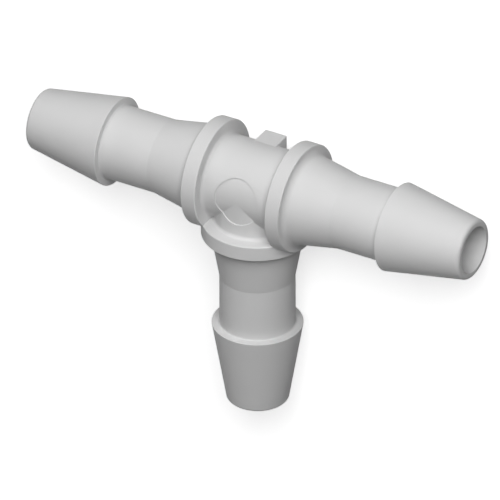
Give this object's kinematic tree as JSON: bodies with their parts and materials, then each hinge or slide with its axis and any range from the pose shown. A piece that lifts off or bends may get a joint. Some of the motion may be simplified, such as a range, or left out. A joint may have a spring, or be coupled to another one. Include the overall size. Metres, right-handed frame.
{
  "type": "hose barb tee",
  "caption": "Equal tee fitting for flexible tubing: each arm has a stop collar, a flared neck and a single long barb, with an open bore.",
  "frame": {"origin": "where the axis of the run and the axis of the branch cross, at the centre of the hub", "axes": "+X along the run, -Y along the branch towards its open end, +Z out of the front of the hub, the side with the round mark"},
  "size_m": [0.0426, 0.0261, 0.0096],
  "materials": {
    "moulded_plastic": "natural white moulded plastic with a fine satin mould finish"
  },
  "bodies": {
    "root": {"tee_body": "moulded_plastic"}
  },
  "joints": []
}
